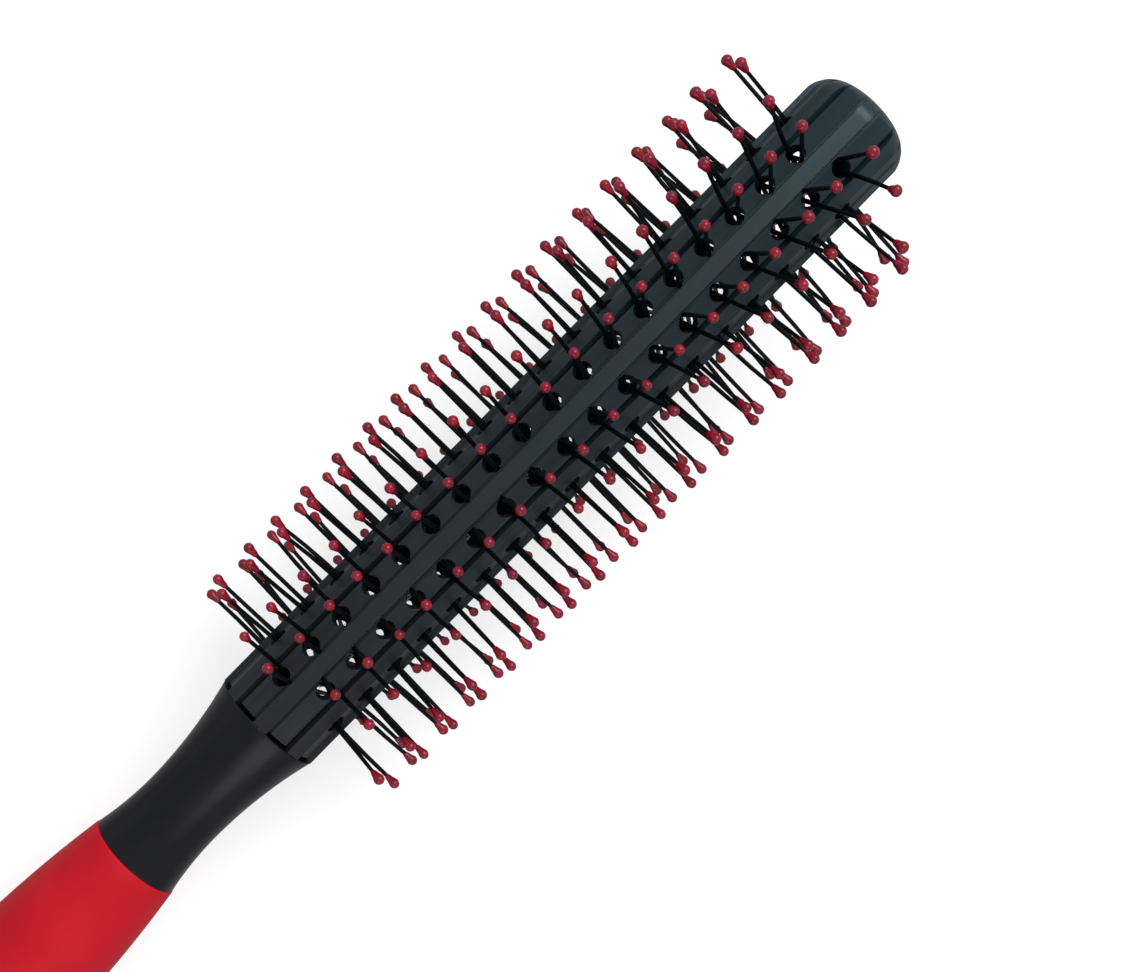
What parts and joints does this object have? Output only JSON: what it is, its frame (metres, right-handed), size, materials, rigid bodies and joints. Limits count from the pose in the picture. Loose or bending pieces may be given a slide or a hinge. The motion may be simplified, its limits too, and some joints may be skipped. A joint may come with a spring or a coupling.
{
  "type": "round vent hairbrush",
  "caption": "Round vent hairbrush: a ribbed, perforated barrel with ball-tipped bristles in rows, on a waisted neck and a soft swelling grip.",
  "frame": {"origin": "centre of the bounding box, which lies on the brush's axis halfway along it", "axes": "+X along the brush towards the barrel's closed tip, +Z out of one barrel rib and along the hanging hole, +Y across"},
  "size_m": [0.2356, 0.0382, 0.0382],
  "materials": {
    "barrel_black": "satin",
    "neck_black": "satin",
    "grip_red": "satin",
    "stem_steel": "satin",
    "bristle_nylon": "satin",
    "tip_red": "gloss"
  },
  "bodies": {
    "root": {"barrel": "barrel_black", "neck": "neck_black", "grip": "grip_red", "stem_wire_a": "stem_steel", "stem_wire_b": "stem_steel", "bristles_row_1": "bristle_nylon", "bristles_row_2": "bristle_nylon", "bristles_row_3": "bristle_nylon", "bristles_row_4": "bristle_nylon", "bristles_row_5": "bristle_nylon", "bristles_row_6": "bristle_nylon", "bristles_row_7": "bristle_nylon", "bristles_row_8": "bristle_nylon", "ball_tips_row_1": "tip_red", "ball_tips_row_2": "tip_red", "ball_tips_row_3": "tip_red", "ball_tips_row_4": "tip_red", "ball_tips_row_5": "tip_red", "ball_tips_row_6": "tip_red", "ball_tips_row_7": "tip_red", "ball_tips_row_8": "tip_red"}
  },
  "joints": []
}
